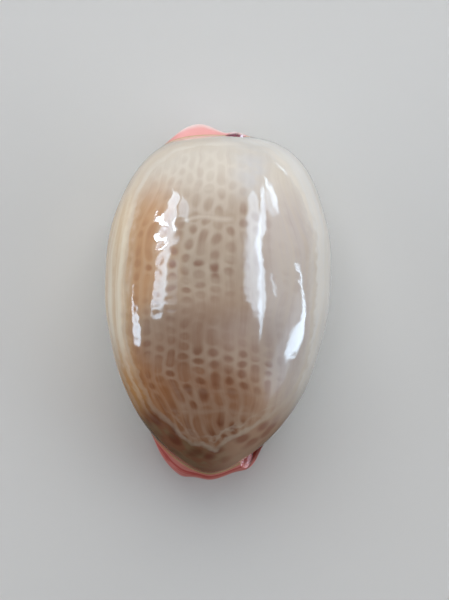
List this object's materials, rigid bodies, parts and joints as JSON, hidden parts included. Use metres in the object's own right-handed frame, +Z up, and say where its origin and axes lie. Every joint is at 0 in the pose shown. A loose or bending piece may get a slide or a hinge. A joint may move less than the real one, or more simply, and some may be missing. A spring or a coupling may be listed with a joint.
{
  "type": "cowrie shell",
  "caption": "Hollow egg-shaped sea shell with a flat base, a narrow toothed slot along the base and a flared canal at each end.",
  "frame": {"origin": "on the resting plane, under the middle of the shell's bounding box", "axes": "+Z up from the toothed base to the domed back, +Y to the broad rear end with the hidden spire, -Y to the narrow front end, -X to the outer lip and +X to the inner lip"},
  "size_m": [0.024, 0.0378, 0.0205],
  "materials": {
    "glazed_shell": "glossy, spotted brown and cream"
  },
  "bodies": {
    "root": {"cowrie_shell": "glazed_shell"}
  },
  "joints": []
}
